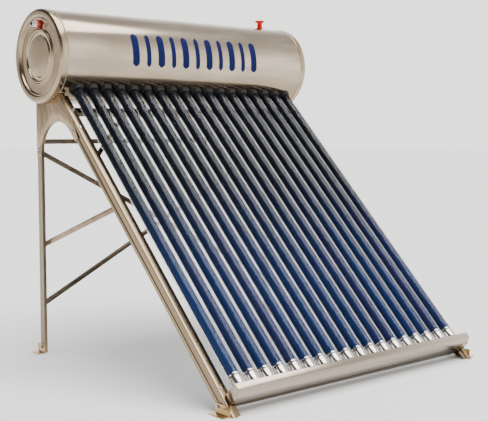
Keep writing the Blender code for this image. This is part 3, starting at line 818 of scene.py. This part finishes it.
def make_tubes():
    tube_low, tube_high = slanted_box(TUBES[0])
    mouth, tip = -tube_high.z, -tube_low.z
    radius = 0.029
    jacket = [(0.0, mouth), (0.0262, mouth)]
    rim_turns = (0.4, 0.8, 1.2, 1.5708)
    jacket += [(0.0262 + 0.0028 * math.sin(a), mouth + 0.0028 * (1 - math.cos(a))) for a in rim_turns]
    jacket += [(radius * math.cos(a), tip - radius + radius * math.sin(a)) for a in
               [math.pi / 2 * k / 10 for k in range(11)]]
    core_end, core = tip - 0.010, 0.0235
    coating = [(0.0, mouth + 0.001), (core, mouth + 0.001)]
    coating += [(core * math.cos(a), core_end - core + core * math.sin(a)) for a in
                [math.pi / 2 * k / 8 for k in range(9)]]
    edge, inside = 1.900, 0.0276
    mirror = [(inside - 0.0002, edge), (inside, edge + 0.0005)]
    mirror += [(inside * math.cos(a), tip - radius + inside * math.sin(a)) for a in
               [math.pi / 2 * k / 8 for k in range(9)]]
    mirror += [((inside - 0.0004) * math.cos(a), tip - radius + (inside - 0.0004) * math.sin(a)) for a in
               [math.pi / 2 * k / 8 for k in range(8, -1, -1)]]
    mirror += [(inside - 0.0004, edge)]
    clip = [(0.0237, edge - 0.013), (0.0262, edge - 0.012), (0.0272, edge - 0.008), (0.0262, edge - 0.004)]
    clip += [(0.0237, edge - 0.003)]

    def shaped(name, profile, sides):
        loop = [(max(r, 0.0) if r > 1e-6 else 0.0, -down) for r, down in profile]
        return turned(name, loop, sides, PLANE @ Matrix.Translation((TUBE_XS[0], 0, 0)), 40)

    glass = shaped("tube_01_glass", jacket, 48)
    coated = shaped("tube_01_absorber", coating, 40)
    silver = shaped("tube_01_getter", mirror, 40)
    spring = shaped("tube_01_clip", clip, 24)
    silver = joined("tube_01_getter", [silver, spring])
    for number, (tube, x) in enumerate(zip(TUBES, TUBE_XS)):
        shift = (x - TUBE_XS[0], 0, 0)
        parts = [glass, coated, silver]
        if number:
            parts = [copied(p, tube + p.name[7:], shift) for p in parts]
        done(parts[0], tube, "tube_glass", CLEAR_GLASS, tube)
        done(parts[1], tube, "tube_coating", COATING)
        done(parts[2], tube, "getter_silver", SILVER)


def make_tail_cups():
    """Black cups in the rail that each tube's end rests in."""
    top, bottom, middle = 1.9538, 1.9690, 1.936
    bowl = [(0.0296 * math.cos(a), middle + 0.0296 * math.sin(a)) for a in
            [math.radians(d) for d in (37, 50, 63, 76, 90)]]
    outside = [(0.0, bottom), (0.012, bottom), (0.020, bottom - 0.002), (0.0250, bottom - 0.006)]
    outside += [(0.0258, top + 0.001)]
    profile = [(r if r > 1e-6 else 0.0, -s) for r, s in bowl[::-1] + [(0.0250, top)] + outside[::-1]]
    first = turned("tail_cup", profile, 32, PLANE @ Matrix.Translation((TUBE_XS[0], 0, 0)), 50)
    cups = [first] + [copied(first, "tail_cup", (x - TUBE_XS[0], 0, 0)) for x in TUBE_XS[1:]]
    done(joined("tail_cups", cups), ROOT, "seal_rubber", RUBBER)


# ---- Tail rail and stand ----

def make_rail():
    """The folded rail and its two end plates, with softened folds."""
    for node, name in (("tail_rail", "rail_sheet"), ("tail_rail_end_left", "rail_plate_left"),
                       ("tail_rail_end_right", "rail_plate_right")):
        piece = softened(node, name, 0.0006)
        done(piece, ROOT, "rail_steel", RAIL_STEEL, node)


def make_front_legs():
    """The slanted legs: shelf, raised ridge, grooved web and rear flange, bent from one strip."""
    for side, word in SIDES:
        leg_low, leg_high = slanted_box("front_leg_" + word)
        face = max(abs(leg_low.x), abs(leg_high.x))
        steel = 0.0015
        line = [
            (face - 0.048, 0.035), (face - 0.026, 0.035), (face - 0.026, 0.0265), (face, 0.0265),
            (face, 0.0440), (face - 0.003, 0.0470), (face - 0.003, 0.0600), (face, 0.0630),
            (face, 0.0830), (face - 0.016, 0.0830),
        ]
        radii = [0, 0.0022, 0.0032, 0.0045, 0.003, 0.003, 0.003, 0.003, 0.0040, 0]
        curve = bent(line, radii)
        if side < 0:
            curve = [Vector((-p.x, p.y)) for p in curve][::-1]
        outline = walled(curve, steel)
        leg = drawn_out("leg_front_" + word, outline, -0.237, -2.14, PLANE)
        only(leg)
        bpy.ops.object.mode_set(mode="EDIT")
        bpy.ops.mesh.select_all(action="SELECT")
        bpy.ops.mesh.bisect(plane_co=(0, 0, 0.0001), plane_no=(0, 0, 1), use_fill=True, clear_inner=True)
        leg = smooth(end("leg_front_" + word), 35)
        done(leg, ROOT, "stand_steel", LEG_STEEL, "front_leg_" + word)


def make_rear_legs():
    for side, word in SIDES:
        leg_low, leg_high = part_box("rear_leg_" + word)
        face = max(abs(leg_low.x), abs(leg_high.x))
        line = [(face - 0.018, leg_low.y), (face, leg_low.y), (face, leg_high.y), (face - 0.018, leg_high.y)]
        mid = (leg_low.y + leg_high.y) / 2
        groove = face - 0.0018
        line[2:2] = [(face, mid - 0.008), (groove, mid - 0.005), (groove, mid + 0.005), (face, mid + 0.008)]
        curve = bent(line, [0, 0.0040, 0.002, 0.002, 0.002, 0.002, 0.0040, 0])
        if side < 0:
            curve = [Vector((-p.x, p.y)) for p in curve][::-1]
        leg = drawn_out("leg_rear_" + word, walled(curve, 0.0015), 0.0001, leg_high.z, None)
        done(leg, ROOT, "stand_steel", POST_STEEL, "rear_leg_" + word)


def make_bars():
    """Crossbars, braces, saddles and feet: the CAD shapes with their folds and edges softened."""
    # The crossbars and rear braces take the darker steel, which is painted shade.
    looks = {
        "rear_crossbar": SHADED_BAR_STEEL, "rear_brace_outer": SHADED_BAR_STEEL, "rear_brace_inner": SHADED_BAR_STEEL,
        "upper_front_crossbar": SHADED_BAR_STEEL, "lower_front_crossbar": SHADED_BAR_STEEL,
    }
    for _, word in SIDES:
        looks["side_brace_" + word] = LEG_STEEL
        looks["knee_brace_" + word] = LEG_STEEL
        looks["saddle_" + word] = SADDLE_STEEL
        looks["foot_front_" + word] = FOOT_STEEL
        looks["foot_rear_" + word] = FOOT_STEEL
    for node, look in looks.items():
        slot = "foot_steel" if node.startswith("foot") else "stand_steel"
        done(softened(node, node + "_steel", 0.0006), ROOT, slot, look, node)


# ---- Bolts ----

def hexagon_bolt(name, place, grip, radius=0.0065, head=0.005, shank=0.004):
    """A hexagon bolt with a domed head, two washers and a nut, along its own Z from the outer face."""
    hole, rim = shank + 0.0003, radius + 0.0026
    washer = [(hole, 0.0012), (radius + 0.0022, 0.0012), (rim, 0.0008), (rim, 0.0001), (hole, 0.0001)]
    pieces = [turned(name, washer, 24, place, 30)]
    below = [(r, -grip - 0.0012 - h + 0.0011) for r, h in washer][::-1]
    pieces.append(turned(name, below, 24, place, 30))
    for start, stop in ((0.0012, 0.0012 + head), (-grip - 0.0012 - head * 1.1, -grip - 0.0012)):
        begin(bpy.ops.mesh.primitive_cylinder_add, vertices=6, radius=radius, depth=stop - start)
        bpy.ops.transform.translate(value=(0, 0, (start + stop) / 2))
        top = stop if start > 0 else start
        pick("FACE", lambda m, n: abs(m.z - top) < 1e-5)
        bpy.ops.mesh.inset(thickness=0.0010)
        bpy.ops.transform.translate(value=(0, 0, 0.0007 if start > 0 else -0.0007))
        pieces.append(smooth(end(name, place), 20))
    stud = [(0.0, -grip - 0.011), (shank - 0.0006, -grip - 0.011), (shank, -grip - 0.0104)]
    stud += [(shank, 0.001), (0.0, 0.001)]
    pieces.append(turned(name, stud[::-1], 16, place, 30))
    return joined(name, pieces)


def make_bolts():
    """The CAD's eight bolts, and the small ones that hold the bars, rail and cap bands."""
    for side, word in SIDES:
        seats = (f"foot_front_{word}", f"foot_rear_{word}", f"saddle_{word}_front", f"saddle_{word}_rear")
        for node in ("bolt_" + seat for seat in seats):
            bolt_low, bolt_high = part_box(node)
            middle = (bolt_low + bolt_high) / 2
            outer = max(abs(bolt_low.x), abs(bolt_high.x)) - 0.0053
            grip = 0.0048 if "foot" in node else 0.0038
            turn = Matrix.Rotation(side * math.pi / 2, 4, "Y")
            place = Matrix.Translation((side * outer, middle.y, middle.z)) @ turn
            done(hexagon_bolt(node + "_set", place, grip), ROOT, "bolt_steel", BOLT_STEEL, node)
    small = []

    def fasten(point, direction, grip=0.0034, radius=0.0055):
        """A small bolt whose head faces along a direction, in world coordinates."""
        facing = Vector(direction).normalized().to_track_quat("Z", "Y").to_matrix().to_4x4()
        small.append(hexagon_bolt("bolt", Matrix.Translation(point) @ facing, grip, radius, 0.004, 0.003))

    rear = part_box("rear_leg_left")
    for side, word in SIDES:
        face = side * max(abs(rear[0].x), abs(rear[1].x))
        bar_z = sum(c.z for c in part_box("rear_crossbar")) / 2
        fasten((face - side * 0.011, rear[1].y + 0.0018, bar_z), (0, 1, 0))
        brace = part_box("rear_brace_outer")
        for z in (brace[1].z - 0.014, brace[0].z + 0.016):
            fasten((face - side * 0.011, rear[1].y + 0.0018, z), (0, 1, 0))
        side_low, side_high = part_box("side_brace_" + word)
        upper = face - side * 0.0188
        fasten((upper + side * 0.0005, side_high.y - 0.020, side_low.z + 0.016), (-side, 0, 0), 0.003)
        fasten((upper + side * 0.0005, side_low.y + 0.020, side_high.z - 0.018), (-side, 0, 0), 0.003)
    for node in ("upper_front_crossbar", "lower_front_crossbar"):
        bar_low, bar_high = slanted_box(node)
        middle = -(bar_low.z + bar_high.z) / 2
        for side, word in SIDES:
            point = PLANE @ Vector((side * 0.728, 0.0348, -middle))
            fasten(point, PLANE.to_3x3() @ Vector((0, -1, 0)), 0.0034)
    for side, word in SIDES:
        for down in (0.46, 1.92):
            point = PLANE @ Vector((side * 0.7520, 0.0264, -down))
            fasten(point, PLANE.to_3x3() @ Vector((0, -1, 0)), 0.0020, 0.0050)
    done(joined("small_bolts", small), ROOT, "bolt_steel", BOLT_STEEL)


def make_rivets():
    """Small screws round the edge of each end cap's skirt."""
    heads = []
    per_cap, radius, inset = 6, 0.2300, 0.022
    dome_line = [(0.0, 0.0012), (0.0018, 0.0010), (0.0030, 0.0004), (0.0033, -0.0006), (0.0, -0.0006)]
    for side, _ in SIDES:
        x = side * (TANK_HALF - CAP_SKIRT + inset)
        for i in range(per_cap):
            angle = math.radians(360 / per_cap * i + 30)
            point = Vector((x, TANK.y + radius * math.sin(angle), TANK.z + radius * math.cos(angle)))
            facing = Vector((0, math.sin(angle), math.cos(angle))).to_track_quat("Z", "Y")
            place = Matrix.Translation(point) @ facing.to_matrix().to_4x4()
            heads.append(turned("rivet", dome_line, 12, place, 40))
    done(joined("skirt_rivets", heads), ROOT, "bolt_steel", BOLT_STEEL)


make_tank_skin()
make_end_caps()
make_decal()
make_dust_seals()
make_ports()
make_vent()
make_tubes()
make_tail_cups()
make_rail()
make_front_legs()
make_rear_legs()
make_bars()
make_bolts()
make_rivets()

for node, look in (("inner_tank", LINER_STEEL), ("insulation_foam", FOAM)):
    frame["nodes"][node].data.materials.clear()
    frame["nodes"][node].data.materials.append(look)


# ---- Setting ----

def make_floor():
    begin(bpy.ops.mesh.primitive_circle_add, vertices=96, radius=60, fill_type="NGON")
    floor = end("studio_floor", Matrix.Translation((0, 0, -0.0005)), False)
    material, look = finish("studio_floor_paint")
    speck = look.noise(0.8, 3.0)
    shader = look.node(
        "BsdfPrincipled",
        None,
        {"Base Color": look.blend(speck, rgb(0.86, 0.86, 0.86), rgb(0.90, 0.90, 0.90)), "Roughness": 0.85},
    )
    show(look, shader)
    floor.data.materials.append(material)


def make_world():
    """A plain soft studio: pale all round at eye height, greyer overhead and dimmest high on the left."""
    world = bpy.data.worlds.new("studio")
    bpy.context.scene.world = world
    world.use_nodes = True
    look = Look(world.node_tree)
    way = look.node("SeparateXYZ", None, {"Vector": look.node("TexCoord").outputs["Generated"]})
    x, z = (look.number(way.outputs[i]) for i in (0, 2))
    pale = look.blend(look.ramp(z, 0.30, 0.80), rgb(2.20, 2.17, 2.13), rgb(0.80, 0.79, 0.77))
    dim = look.blend(look.ramp(z, 0.02, 0.45), rgb(1.15, 1.13, 1.10), rgb(0.12, 0.118, 0.115))
    room = look.blend(look.ramp(x, -0.15, 0.40), dim, pale)
    back = look.node("Background", None, {"Color": room, "Strength": 1.0})
    look.node("OutputWorld", None, {"Surface": back.outputs[0]})


def make_sun():
    """One wide, soft light from overhead, so that the floor is as pale far away as it is near."""
    data = bpy.data.lights.new("overhead_light", "SUN")
    data.energy, data.angle = 5.4, math.radians(60)
    lamp = bpy.data.objects.new("overhead_light", data)
    bpy.context.scene.collection.objects.link(lamp)
    lamp.rotation_euler = Vector((0.5, -1.0, 6.0)).to_track_quat("Z", "Y").to_euler()


def make_camera():
    data = bpy.data.cameras.new("camera")
    data.sensor_width, data.lens = 36.0, 71.34
    camera = bpy.data.objects.new("camera", data)
    bpy.context.scene.collection.objects.link(camera)
    camera.location = (-3.132, -3.645, 1.113)
    camera.rotation_euler = (math.radians(90 - 4.70), 0, math.radians(49.28 - 90))
    bpy.context.scene.camera = camera


make_floor()
make_world()
make_sun()
make_camera()
